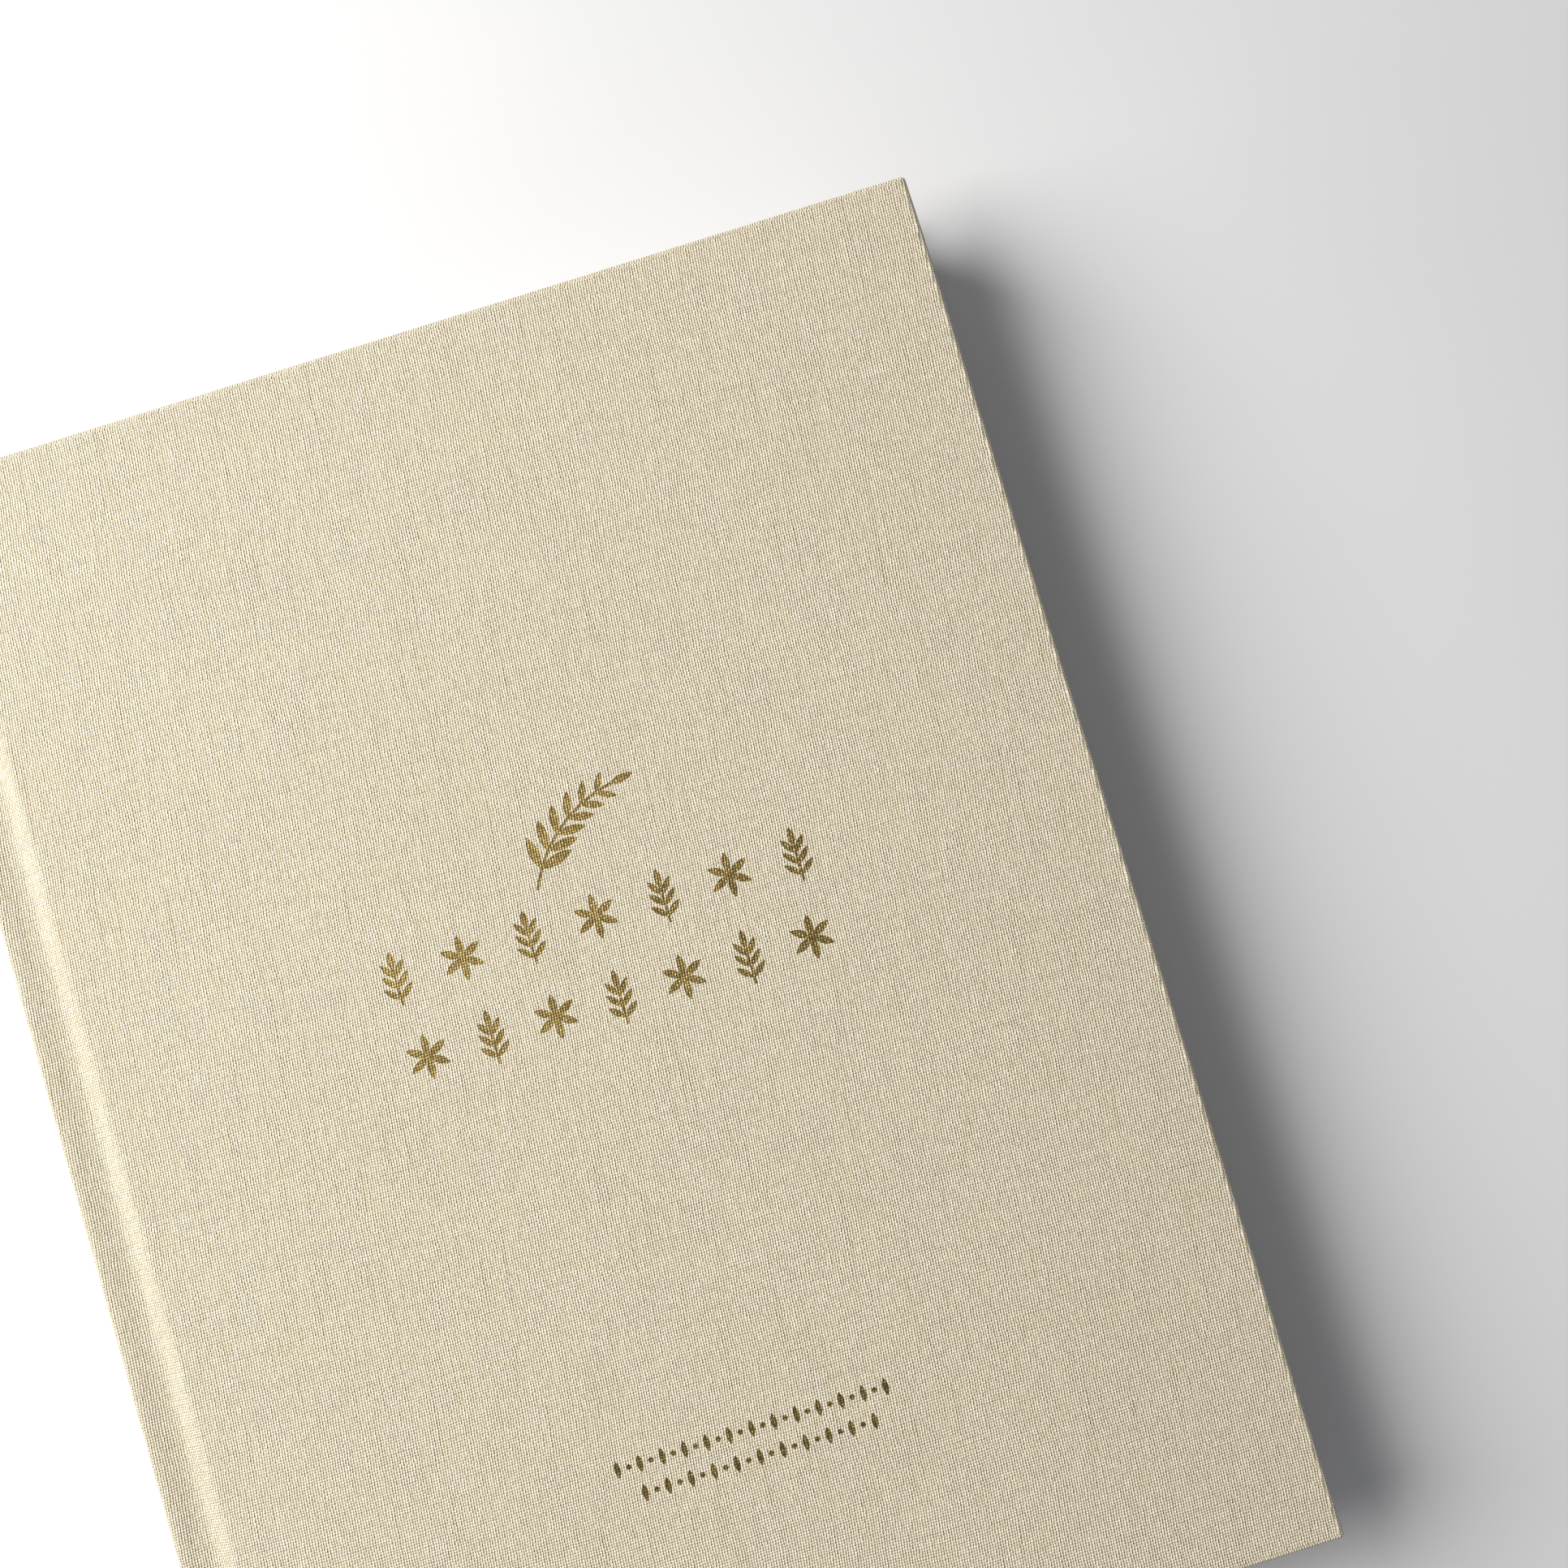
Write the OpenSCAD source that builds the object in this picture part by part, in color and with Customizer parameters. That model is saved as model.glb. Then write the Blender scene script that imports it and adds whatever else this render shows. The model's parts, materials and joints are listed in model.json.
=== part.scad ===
// Case-bound journal with square back, sewn sections and a foil-stamped linen cover.
// It lies on its back cover: +X from spine to fore edge, +Y from tail to head, +Z up.
// The origin is the middle of the underside.

/* [Case] */
// Width from the outside of the spine to the fore edge of the boards
case_w = 178; // [150:1:220]
// Height of the boards from tail to head
case_h = 230; // [200:1:300]
// Thickness of the front and back boards
board_t = 2.4; // [1.8:0.1:3.2]
// Thickness of the spine board
spine_board_t = 2; // [1.2:0.1:2.6]
// Distance from the outside of the spine to the edge of a board
joint_w = 9.4; // [7.8:0.1:12]
// Thickness of the linen covering cloth
cloth_t = 0.4; // [0.3:0.05:0.6]
// Width of the cloth turned over the edges of the boards
turn_in = 15; // [10:1:22]
// Depth that a turn-in is pressed into its board
turn_in_t = 0.3; // [0.2:0.05:0.4]
// Outer radius of the covered board edges
edge_r = 0.8; // [0.5:0.1:1]
// Outer radius of the covered board edge at the joint
joint_edge_r = 0.9; // [0.5:0.1:1.2]

/* [Endpapers and leaves] */
// Thickness of an endpaper, pasted down or free
endpaper_t = 0.15; // [0.1:0.01:0.25]
// Thickness of one loose leaf of the first section
leaf_t = 0.15; // [0.1:0.01:0.2]
// Distance that the boards stand past the leaves at head and tail
head_square = 3; // [2:0.5:5]
// Distance that the boards stand past the leaves at the fore edge
fore_square = 3.5; // [2:0.5:6]

/* [Text block] */
// Thickness of one folded section
section_t = 1.5; // [1.2:0.05:2]
// Diameter of the sewing thread
thread_d = 0.5; // [0.3:0.05:0.7]
// Gap between the thread and the wall of its sawn kerf
thread_gap = 0.1; // [0.05:0.01:0.2]
// Distance from the head or tail of the leaves to the end kerf
kettle_in = 14; // [10:1:20]

/* [Spine] */
// Distance that the spine's edges stand below the faces of the covers
spine_drop = 0.8; // [0:0.1:1.2]
// Clear space between the spine board and the lining
hollow_gap = 0.6; // [0.5:0.1:1.2]
// Thickness of the kraft paper lining
lining_t = 0.2; // [0.15:0.05:0.4]
// Thickness of the open-weave mull
mull_t = 0.2; // [0.15:0.05:0.3]
// Distance that the mull stops short of the head and tail of the leaves
mull_in = 12; // [8:1:20]
// Width of the mull flap pasted to each board
mull_flap_w = 24; // [15:1:35]
// Diameter of the bead of a headband
band_d = 1.9; // [1.5:0.1:2.2]
// Length of the tape that glues a headband to the spine
band_tape = 10; // [6:1:11]

/* [Hinge] */
// Height of a hinge axis above the face of the leaves
hinge_rise = 1.2; // [0.8:0.1:1.4]
// Clearance between the spine's corner and the open cover's edge
swing_gap = 2; // [0.5:0.1:2.5]
// Clearance between the joint strips and the covered board edge
strip_gap = 0.3; // [0.2:0.05:0.5]

/* [Foil ornament] */
// Depth of the stamped impression in the cloth
stamp_depth = 0.15; // [0.1:0.01:0.2]
// Thickness of the foil
foil_t = 0.05; // [0.03:0.01:0.08]
// Height of the motifs in the two large rows
motif_h = 9; // [7:0.5:10]
// Width of the upper large row
upper_row_w = 74; // [60:1:90]
// Width of the lower large row
lower_row_w = 71; // [60:1:90]
// Distance between the two large rows
row_pitch = 13.5; // [12:0.5:16]
// Height of the two large rows' middle above the middle of the cover
rows_y = 6.5; // [0:0.5:20]
// Height of the sprig's middle above the middle of the cover
sprig_y = 29; // [26:0.5:50]
// Height of the motifs in the small rows
small_h = 2.8; // [2:0.1:3.5]
// Width of the upper small row
small_upper_w = 44.5; // [30:0.5:60]
// Width of the lower small row
small_lower_w = 38; // [30:0.5:60]
// Distance between the two small rows
small_pitch = 4.6; // [4:0.1:6]
// Distance of the small rows' middle below the middle of the cover
small_y = 73.8; // [60:0.5:85]

/* [Hidden] */
$fn = 64;

sections = 10;
loose_leaves = 5;
kerfs = 5;
eps = 0.01;

linen = [0.86, 0.82, 0.72];
linen_shade = [0.80, 0.75, 0.64];
greyboard = [0.55, 0.53, 0.50];
paper = [0.96, 0.95, 0.91];
cream_paper = [0.93, 0.91, 0.85];
foil_gold = [0.56, 0.45, 0.18];
kraft = [0.72, 0.58, 0.40];
gauze = [0.90, 0.88, 0.80];

// Heights of the stack
cover_t = cloth_t + board_t + endpaper_t;
block_t = sections * section_t + 2 * endpaper_t;
case_t = 2 * cover_t + block_t;
front_z = case_t - cover_t;
sections_top = front_z - endpaper_t;

// Places from spine to fore edge
spine_x = -case_w / 2;
fore_x = case_w / 2;
hollow_x = spine_x + cloth_t + spine_board_t;
lining_x = hollow_x + hollow_gap;
mull_x = lining_x + lining_t;
block_x = mull_x + mull_t;
board_x = spine_x + joint_w;
wall_x = board_x - cloth_t;
leaf_fore_x = fore_x - fore_square;
leaf_h = case_h - 2 * head_square;

// The open cover's edge passes the spine's corner at swing_gap, which places the hinge axis
swing_span = joint_w - cloth_t - swing_gap;
corner_rise = cover_t - hinge_rise;
hinge_in = (swing_span * swing_span - corner_rise * corner_rise) / (2 * swing_span);
hinge_x = spine_x + hinge_in;
strip_end_x = wall_x - strip_gap;

// Middle of the flat face of the cover
face_x = (board_x + fore_x) / 2;
kerf_pitch = (leaf_h - 2 * kettle_in) / (kerfs - 1);
kerf_w = thread_d + 2 * thread_gap;
kerf_x = block_x + kerf_w / 2;

// A box from one corner to the other
module span(lo, hi) {
    translate(lo) cube(hi - lo);
}

// The same piece at the back of the book
module at_back() {
    translate([0, 0, case_t]) mirror([0, 0, 1]) children();
}

// A rectangle from lo to hi with radius r at all corners
module round_rect(lo, hi, r) {
    translate([lo[0] + r, lo[1]]) square([hi[0] - lo[0] - 2 * r, hi[1] - lo[1]]);
    translate([lo[0], lo[1] + r]) square([hi[0] - lo[0], hi[1] - lo[1] - 2 * r]);
    for (x = [lo[0] + r, hi[0] - r], y = [lo[1] + r, hi[1] - r])
        translate([x, y]) circle(r);
}

// Pushes an outline drawn in X and Z along Y
module along_y(lo_y, hi_y) {
    translate([0, hi_y, 0]) rotate([90, 0, 0]) linear_extrude(hi_y - lo_y) children();
}

// Pushes an outline drawn in Y and Z along X
module along_x(lo_x, hi_x) {
    translate([lo_x, 0, 0]) rotate([90, 0, 90]) linear_extrude(hi_x - lo_x) children();
}

// ---- Covers ----

board_lo = [board_x, -case_h / 2 + cloth_t, front_z + endpaper_t];
board_hi = [fore_x - cloth_t, case_h / 2 - cloth_t, case_t - cloth_t];

// Space that the cloth's turn-ins press into the board at head, tail and fore edge
module turn_in_space() {
    z = board_lo[2];
    x_in = fore_x - turn_in;
    y_in = case_h / 2 - turn_in;
    span([board_lo[0], board_lo[1], z], [board_hi[0], -y_in, z + turn_in_t]);
    span([board_lo[0], y_in, z], [board_hi[0], board_hi[1], z + turn_in_t]);
    span([x_in, -y_in, z], [board_hi[0], y_in, z + turn_in_t]);
}

// Space between board and pastedown for the mull flap
module flap_space() {
    y_in = leaf_h / 2 - mull_in;
    span([board_x, -y_in, board_lo[2]], [board_x + mull_flap_w, y_in, board_lo[2] + mull_t]);
}

module cover_board() {
    color(greyboard) difference() {
        span(board_lo, board_hi);
        turn_in_space();
        flap_space();
    }
}

module cover_skin() {
    intersection() {
        along_y(-case_h / 2, case_h / 2) {
            round_rect([wall_x + joint_edge_r, board_lo[2]], [fore_x, case_t], edge_r);
            translate([wall_x, board_lo[2]])
                square([2 * joint_edge_r + edge_r, case_t - joint_edge_r - board_lo[2]]);
            translate([wall_x + joint_edge_r, board_lo[2]])
                square([joint_edge_r + edge_r, case_t - board_lo[2]]);
            translate([wall_x + joint_edge_r, case_t - joint_edge_r]) circle(joint_edge_r);
        }
        along_x(wall_x, fore_x)
            round_rect([-case_h / 2, board_lo[2]], [case_h / 2, case_t], edge_r);
    }
}

module cover_cloth() {
    difference() {
        cover_skin();
        difference() {
            span([board_x, board_lo[1], board_lo[2] - eps], board_hi);
            turn_in_space();
        }
    }
}

module pastedown() {
    color(cream_paper)
        span([board_x, -leaf_h / 2, front_z], [leaf_fore_x, leaf_h / 2, front_z + endpaper_t]);
}

module mull_flap() {
    color(gauze) flap_space();
}

module front_board() cover_board();
module front_pastedown() pastedown();
module front_mull_flap() mull_flap();
module back_board() at_back() cover_board();
module back_pastedown() at_back() pastedown();
module back_mull_flap() at_back() mull_flap();

module front_cloth() {
    color(linen) difference() {
        cover_cloth();
        stamped(case_t - stamp_depth, stamp_depth + eps) {
            sprig();
            upper_row();
            lower_row();
            small_rows();
        }
    }
}

module back_cloth() {
    color(linen) at_back() cover_cloth();
}

// ---- Foil ornament ----

// Pushes a flat ornament up from height z
module stamped(z, depth) {
    translate([face_x, 0, z]) linear_extrude(depth) children();
}

// A pointed leaf with its base at the origin, along +Y
module leaf_shape(len, wid) {
    r = (len * len + wid * wid) / (4 * wid);
    translate([0, len / 2]) intersection() {
        translate([r - wid / 2, 0]) circle(r);
        translate([wid / 2 - r, 0]) circle(r);
    }
}

// Six petals round a disc
module flower_motif(h) {
    for (i = [0:5])
        rotate(60 * i) leaf_shape(h / 2, 0.17 * h);
    circle(0.1 * h);
}

// An upright stem with pairs of leaves and a bud at its tip
module stem_motif(h) {
    stem = 0.05 * h;
    leaf = 0.36 * h;
    translate([-stem / 2, -h / 2]) square([stem, h - leaf + stem]);
    for (i = [0:2], side = [-1, 1])
        translate([0, (0.2 * i - 0.38) * h])
            rotate(side * (48 - 6 * i)) leaf_shape(leaf, 0.32 * leaf);
    translate([0, h / 2 - leaf]) leaf_shape(leaf, 0.36 * leaf);
}

// A row of count motifs, with a stem at every second place
module motif_row(w, count, first) {
    pitch = (w - motif_h * 0.7) / (count - 1);
    for (i = [0:count - 1])
        translate([(i - (count - 1) / 2) * pitch, 0])
            if (i % 2 == first) stem_motif(motif_h);
            else flower_motif(motif_h * 0.84);
}

module upper_row() {
    translate([0, rows_y + row_pitch / 2]) motif_row(upper_row_w, 7, 0);
}

module lower_row() {
    translate([0, rows_y - row_pitch / 2]) motif_row(lower_row_w, 7, 1);
}

// A row of small leaves and dots
module small_row(w, count) {
    pitch = w / (count - 1);
    for (i = [0:count - 1])
        translate([(i - (count - 1) / 2) * pitch, 0])
            if (i % 2 == 0) translate([0, -small_h / 2]) leaf_shape(small_h, 0.36 * small_h);
            else circle(0.16 * small_h);
}

module small_rows() {
    translate([0, small_pitch / 2 - small_y]) small_row(small_upper_w, 25);
    translate([0, -small_pitch / 2 - small_y]) small_row(small_lower_w, 21);
}

// A direction at the sprig's arc, angle a from +X
function toward(a) = [cos(a), sin(a)];

// An arched stem with pairs of leaves that shrink towards its tip
module sprig() {
    stem_r = 22;
    stem_w = 0.5;
    pairs = 6;
    first_pair = 148;
    step = 8;
    foot = first_pair + 9;
    tip = first_pair - pairs * step;
    middle = first_pair - 20;
    splay = 42;
    first_leaf = 5.8;
    shrink = 0.45;
    slimness = 0.3;
    tip_leaf = [4.2, 1.3];
    far = 2 * stem_r;
    translate([12.5, sprig_y - 17.5]) {
        intersection() {
            difference() {
                circle(stem_r + stem_w / 2);
                circle(stem_r - stem_w / 2);
            }
            polygon([[0, 0], far * toward(foot), far * toward(middle), far * toward(tip)]);
        }
        for (i = [0:pairs - 1], side = [-1, 1]) {
            a = first_pair - i * step;
            size = first_leaf - shrink * i;
            translate(stem_r * toward(a))
                rotate(a - 180 + side * splay) leaf_shape(size, slimness * size);
        }
        translate(stem_r * toward(tip + 1))
            rotate(tip - 180) leaf_shape(tip_leaf[0], tip_leaf[1]);
    }
}

module foil() {
    color(foil_gold) stamped(case_t - stamp_depth, foil_t) children();
}

module foil_sprig() foil() sprig();
module foil_upper_row() foil() upper_row();
module foil_lower_row() foil() lower_row();
module foil_small_rows() foil() small_rows();

// ---- Spine ----

spine_top = case_t - spine_drop;
spine_lo = [spine_x + cloth_t, -case_h / 2 + cloth_t, spine_drop + cloth_t];
spine_hi = [hollow_x, case_h / 2 - cloth_t, spine_top - cloth_t];

module spine_board() {
    color(greyboard) span(spine_lo, spine_hi);
}

// Wraps the spine board's outside and its four edges, and turns in at head and tail
module spine_cloth() {
    inside = hollow_x + turn_in_t;
    color(linen) difference() {
        intersection() {
            along_y(-case_h / 2, case_h / 2) {
                round_rect([spine_x, spine_drop], [hollow_x, spine_top], edge_r);
                translate([spine_x + edge_r, spine_drop])
                    square([hollow_x - spine_x - edge_r, spine_top - spine_drop]);
                translate([hollow_x - eps, cover_t]) square([turn_in_t + eps, block_t]);
            }
            along_x(spine_x, inside)
                round_rect([-case_h / 2, spine_drop], [case_h / 2, spine_top], edge_r);
        }
        span(spine_lo, spine_hi);
        span([hollow_x - eps, turn_in - case_h / 2, -eps],
             [inside + eps, case_h / 2 - turn_in, case_t + eps]);
    }
}

// Heights of the layers in the groove, from the leaves outwards
groove_paper_z = front_z;
groove_mull_z = groove_paper_z + endpaper_t;
groove_cloth_z = groove_mull_z + mull_t;

// The cloth goes down behind the spine board's edge and along the floor of the groove
module joint_cloth() {
    color(linen_shade) {
        span([hollow_x, -case_h / 2, groove_cloth_z],
             [strip_end_x, case_h / 2, groove_cloth_z + cloth_t]);
        span([hollow_x, -case_h / 2, groove_cloth_z + cloth_t],
             [hollow_x + cloth_t, case_h / 2, spine_top - edge_r]);
    }
}

module hinge_paper() {
    color(cream_paper)
        span([block_x, -leaf_h / 2, groove_paper_z],
             [strip_end_x, leaf_h / 2, groove_paper_z + endpaper_t]);
}

module front_joint_cloth() joint_cloth();
module back_joint_cloth() at_back() joint_cloth();
module front_hinge_paper() hinge_paper();
module back_hinge_paper() at_back() hinge_paper();

// Open-weave cloth round the back of the block, out to the end of both joint strips
module mull() {
    y_in = leaf_h / 2 - mull_in;
    color(gauze) {
        span([mull_x, -y_in, cover_t], [block_x, y_in, front_z]);
        for (z = [cover_t - endpaper_t - mull_t, groove_mull_z])
            span([mull_x, -y_in, z], [strip_end_x, y_in, z + mull_t]);
        for (z = [cover_t - endpaper_t, groove_paper_z])
            span([mull_x, -y_in, z], [block_x, y_in, z + endpaper_t]);
    }
}

module spine_lining() {
    y_in = leaf_h / 2 - 1;
    color(kraft) span([lining_x, -y_in, cover_t], [mull_x, y_in, front_z]);
}

// A bead across the folds, with its tape glued to the back of the block
module band() {
    color(linen) {
        translate([block_x + band_d / 2, leaf_h / 2 + band_d / 2, cover_t + endpaper_t])
            cylinder(h = block_t - 2 * endpaper_t, d = band_d);
        span([mull_x, leaf_h / 2 - band_tape, cover_t], [block_x, leaf_h / 2, front_z]);
    }
}

module headband() band();
module tailband() mirror([0, 1, 0]) band();

// ---- Text block ----

// Runs its children at every kerf
module each_kerf() {
    for (i = [0:kerfs - 1])
        translate([kerf_x, i * kerf_pitch + kettle_in - leaf_h / 2, 0]) children();
}

module sewing_thread() {
    color(paper) each_kerf()
        translate([0, 0, cover_t + endpaper_t])
            cylinder(h = sections * section_t, d = thread_d);
}

// One folded section with its round fold at the spine, sawn for the thread
module section(number) {
    top = sections_top - (number - 1) * section_t;
    r = section_t / 2;
    color(number % 2 == 0 ? paper : cream_paper) difference() {
        along_y(-leaf_h / 2, leaf_h / 2) {
            translate([block_x + r, top - section_t]) square([leaf_fore_x - block_x - r, section_t]);
            translate([block_x + r, top - r]) circle(r);
        }
        translate([0, 0, top - section_t - eps]) each_kerf()
            translate([-section_t, -kerf_w / 2, 0])
                cube([section_t + kerf_w / 2, kerf_w, section_t + 2 * eps]);
        if (number == 1)
            span([wall_x, -leaf_h / 2 - eps, top - loose_leaves * leaf_t],
                 [leaf_fore_x + eps, leaf_h / 2 + eps, top + eps]);
    }
}

module section_1() section(1);
module section_2() section(2);
module section_3() section(3);
module section_4() section(4);
module section_5() section(5);
module section_6() section(6);
module section_7() section(7);
module section_8() section(8);
module section_9() section(9);
module section_10() section(10);

// The turning part of a leaf, from the joint's edge to the fore edge
module leaf(top, t) {
    color(paper) span([wall_x, -leaf_h / 2, top - t], [leaf_fore_x, leaf_h / 2, top]);
}

module loose_leaf(number) leaf(sections_top - (number - 1) * leaf_t, leaf_t);

module front_flyleaf() leaf(front_z, endpaper_t);
module back_flyleaf() at_back() leaf(front_z, endpaper_t);
module leaf_1() loose_leaf(1);
module leaf_2() loose_leaf(2);
module leaf_3() loose_leaf(3);
module leaf_4() loose_leaf(4);
module leaf_5() loose_leaf(5);

front_board();
front_cloth();
front_pastedown();
front_mull_flap();
foil_sprig();
foil_upper_row();
foil_lower_row();
foil_small_rows();
back_board();
back_cloth();
back_pastedown();
back_mull_flap();
spine_board();
spine_cloth();
front_joint_cloth();
back_joint_cloth();
front_hinge_paper();
back_hinge_paper();
mull();
spine_lining();
headband();
tailband();
sewing_thread();
front_flyleaf();
leaf_1();
leaf_2();
leaf_3();
leaf_4();
leaf_5();
section_1();
section_2();
section_3();
section_4();
section_5();
section_6();
section_7();
section_8();
section_9();
section_10();
back_flyleaf();
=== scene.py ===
import json
import math

import bmesh
import bpy
import numpy as np
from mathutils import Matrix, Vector, noise


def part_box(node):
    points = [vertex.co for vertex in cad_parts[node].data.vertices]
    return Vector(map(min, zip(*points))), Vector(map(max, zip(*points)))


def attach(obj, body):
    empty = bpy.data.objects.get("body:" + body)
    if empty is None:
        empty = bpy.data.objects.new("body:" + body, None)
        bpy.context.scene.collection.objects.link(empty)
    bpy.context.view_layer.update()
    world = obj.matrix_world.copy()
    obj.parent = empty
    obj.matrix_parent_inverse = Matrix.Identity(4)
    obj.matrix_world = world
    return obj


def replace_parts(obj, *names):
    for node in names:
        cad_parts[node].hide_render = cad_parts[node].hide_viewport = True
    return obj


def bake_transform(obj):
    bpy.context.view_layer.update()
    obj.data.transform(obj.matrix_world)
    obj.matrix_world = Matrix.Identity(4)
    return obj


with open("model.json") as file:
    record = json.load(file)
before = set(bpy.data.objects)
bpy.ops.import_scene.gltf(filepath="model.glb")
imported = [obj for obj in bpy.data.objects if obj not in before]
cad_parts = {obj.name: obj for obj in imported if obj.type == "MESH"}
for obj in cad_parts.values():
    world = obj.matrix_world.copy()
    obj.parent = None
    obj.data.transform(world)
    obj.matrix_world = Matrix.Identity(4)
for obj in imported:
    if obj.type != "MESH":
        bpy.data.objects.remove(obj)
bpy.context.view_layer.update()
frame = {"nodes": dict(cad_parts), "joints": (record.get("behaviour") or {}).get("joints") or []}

nodes = frame["nodes"]
scene = bpy.context.scene
MM = 0.001


# ---- Camera and light ----

CAMERA_PLACE = (0.039345, 0.007272, 0.302703)
CAMERA_TURN = (3.411, 0.9216, -17.3048)
WINDOW_TURN, WINDOW_RISE = 152, 40
WINDOW_AWAY, WINDOW_SIZE = 0.80, 0.64
WINDOW_POWER = 13.0
WINDOW_COLOUR = (1.0, 0.985, 0.965)
ROOM_COLOUR = (0.93, 0.95, 1.0)
ROOM_STRENGTH = 0.245

camera = bpy.data.objects.new("camera", bpy.data.cameras.new("camera"))
scene.collection.objects.link(camera)
camera.data.sensor_width = 36
camera.data.lens = 40
camera.data.clip_start = 0.01
camera.location = CAMERA_PLACE
camera.rotation_euler = [math.radians(a) for a in CAMERA_TURN]
scene.camera = camera
scene.view_settings.view_transform = "Standard"

turn, rise = math.radians(WINDOW_TURN), math.radians(WINDOW_RISE)
window = bpy.data.objects.new("window", bpy.data.lights.new("window", "AREA"))
scene.collection.objects.link(window)
window.location = WINDOW_AWAY * Vector(
    (math.cos(rise) * math.cos(turn), math.cos(rise) * math.sin(turn), math.sin(rise))
)
window.rotation_euler = window.location.to_track_quat("Z", "Y").to_euler()
window.data.size = WINDOW_SIZE
window.data.energy = WINDOW_POWER
window.data.color = WINDOW_COLOUR

world = bpy.data.worlds.new("room")
scene.world = world
world.use_nodes = True
background = world.node_tree.nodes["Background"]
background.inputs["Color"].default_value = (*ROOM_COLOUR, 1)
background.inputs["Strength"].default_value = ROOM_STRENGTH


# ---- Mesh building; every place is in millimetres ----

MERGE = 0.0004
SHARP_DEGREES = 40
SEED_STEP = Vector((7.13, 3.7, 1.0))


def span_of(name):
    """Lowest and highest corner of a CAD node, in millimetres."""
    low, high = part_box(name)
    return np.array(low) / MM, np.array(high) / MM


class Shape:
    """Points and faces that become one mesh, with a flat-cut place kept for each point."""

    def __init__(self):
        self.points, self.places, self.faces = [], [], []

    def add(self, points, faces, places=None):
        start = len(self.points)
        self.points += [tuple(p) for p in points]
        self.places += [tuple(p) for p in (points if places is None else places)]
        self.faces += [tuple(start + i for i in f) for f in faces]

    def grid(self, points, places=None, flip=False):
        """points is an array of rows of places, joined by quads."""
        rows, cols = len(points), len(points[0])
        faces = []
        for i in range(rows - 1):
            for j in range(cols - 1):
                a, b = i * cols + j, i * cols + j + 1
                face = (a, b, b + cols, a + cols)
                faces.append(face[::-1] if flip else face)
        if places is not None:
            places = np.array(places, float).reshape(-1, 3)
        self.add(np.array(points, float).reshape(-1, 3), faces, places)

    def piece(self, name, material):
        """The mesh as an object, its flat-cut places in the attribute rest_place."""
        mesh = bpy.data.meshes.new(name)
        mesh.from_pydata([tuple(c * MM for c in p) for p in self.points], [], self.faces)
        places = mesh.attributes.new("rest_place", "FLOAT_VECTOR", "POINT")
        places.data.foreach_set("vector", np.array(self.places, np.float32).ravel())
        bm = bmesh.new()
        bm.from_mesh(mesh)
        bmesh.ops.remove_doubles(bm, verts=bm.verts, dist=MERGE * MM)
        bm.to_mesh(mesh)
        bm.free()
        mesh.shade_smooth()
        mesh.set_sharp_from_angle(angle=math.radians(SHARP_DEGREES))
        mesh.materials.append(material)
        piece = bpy.data.objects.new(name, mesh)
        scene.collection.objects.link(piece)
        return piece


def steps(*stops):
    """Values from stop to stop: (value, count, value, count, value)."""
    values = [stops[0]]
    for i in range(1, len(stops), 2):
        values += list(np.linspace(values[-1], stops[i + 1], stops[i] + 1)[1:])
    return np.array(values)


def bezier(a, b, c, d, count):
    """Points along a cubic curve from a to d, with b and c as its handles."""
    t = np.linspace(0, 1, count)[:, None]
    a, b, c, d = (np.array(p, float) for p in (a, b, c, d))
    return (1 - t) ** 3 * a + 3 * (1 - t) ** 2 * t * b + 3 * (1 - t) * t * t * c + t**3 * d


def drift(a, b, seed=0.0):
    """A smooth random value from about -1 to 1."""
    return noise.noise(Vector((a, b, seed)) + seed * SEED_STEP)


def slack(a, b):
    """A smooth random value from about 0 to 1."""
    return 0.5 + 0.5 * drift(a, b)


def run_along(line):
    """Length along a line of points, up to each point."""
    return np.concatenate([[0], np.cumsum(np.hypot(*np.diff(np.array(line), axis=0).T))])


# ---- Materials ----


class Field:
    """A number that varies over a surface, built from a shader's nodes."""

    def __init__(self, tree, socket):
        self.tree, self.socket = tree, socket

    def math(self, operation, *others):
        node = self.tree.nodes.new("ShaderNodeMath")
        node.operation = operation
        for value, slot in zip((self, *others), node.inputs):
            if isinstance(value, Field):
                self.tree.links.new(value.socket, slot)
            else:
                slot.default_value = value
        return Field(self.tree, node.outputs[0])

    def __add__(self, other):
        return self.math("ADD", other)

    def __sub__(self, other):
        return self.math("SUBTRACT", other)

    def __mul__(self, other):
        return self.math("MULTIPLY", other)

    def __truediv__(self, other):
        return self.math("DIVIDE", other)

    def __rsub__(self, other):
        return (self * -1.0) + other

    def wave(self):
        """0 to 1 and back over each whole number, highest on the whole number."""
        return (self * (2 * math.pi)).math("COSINE") * 0.5 + 0.5

    def swing(self):
        """1 on even whole numbers, -1 on odd ones."""
        return (self * math.pi).math("COSINE")

    def nearest(self):
        return self.math("ROUND")

    def between(self, low, high):
        """0 below low, 1 above high, smooth between."""
        node = self.tree.nodes.new("ShaderNodeMapRange")
        node.interpolation_type = "SMOOTHSTEP"
        self.tree.links.new(self.socket, node.inputs["Value"])
        node.inputs["From Min"].default_value = low
        node.inputs["From Max"].default_value = high
        return Field(self.tree, node.outputs["Result"])


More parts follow.
